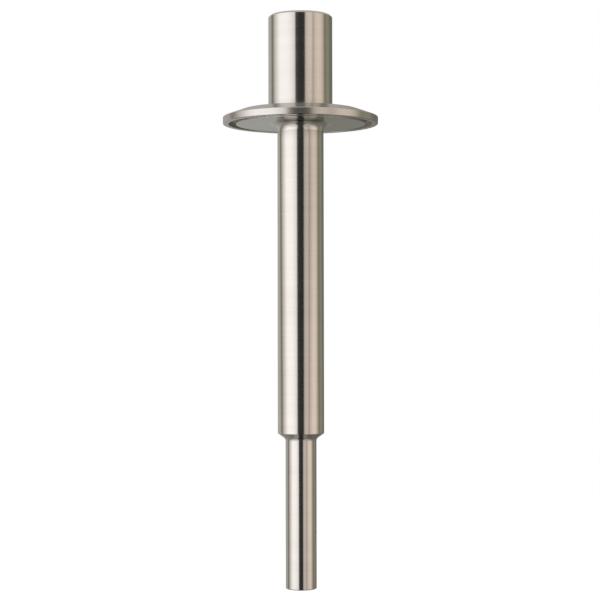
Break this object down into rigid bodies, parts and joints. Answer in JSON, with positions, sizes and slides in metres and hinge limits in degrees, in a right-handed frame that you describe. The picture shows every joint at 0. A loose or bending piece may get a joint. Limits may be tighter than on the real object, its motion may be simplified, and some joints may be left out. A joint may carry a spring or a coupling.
{
  "type": "thermowell",
  "caption": "Stepped stainless thermowell with a round threaded head, a sanitary clamp flange with gasket groove, a polished stem and a reduced tip with a blind sensor bore.",
  "frame": {"origin": "centre of the clamp flange's sealing face, on the axis of the stem", "axes": "+Z along the axis from the sealing face up to the threaded head; the stem and tip run along -Z. X and Y are any two directions across, since the part is round."},
  "size_m": [0.064, 0.064, 0.2354],
  "materials": {
    "polished_stainless": "turned and polished",
    "flange_stainless": "turned and polished"
  },
  "bodies": {
    "root": {"well_body": "polished_stainless", "clamp_flange": "flange_stainless"}
  },
  "joints": []
}
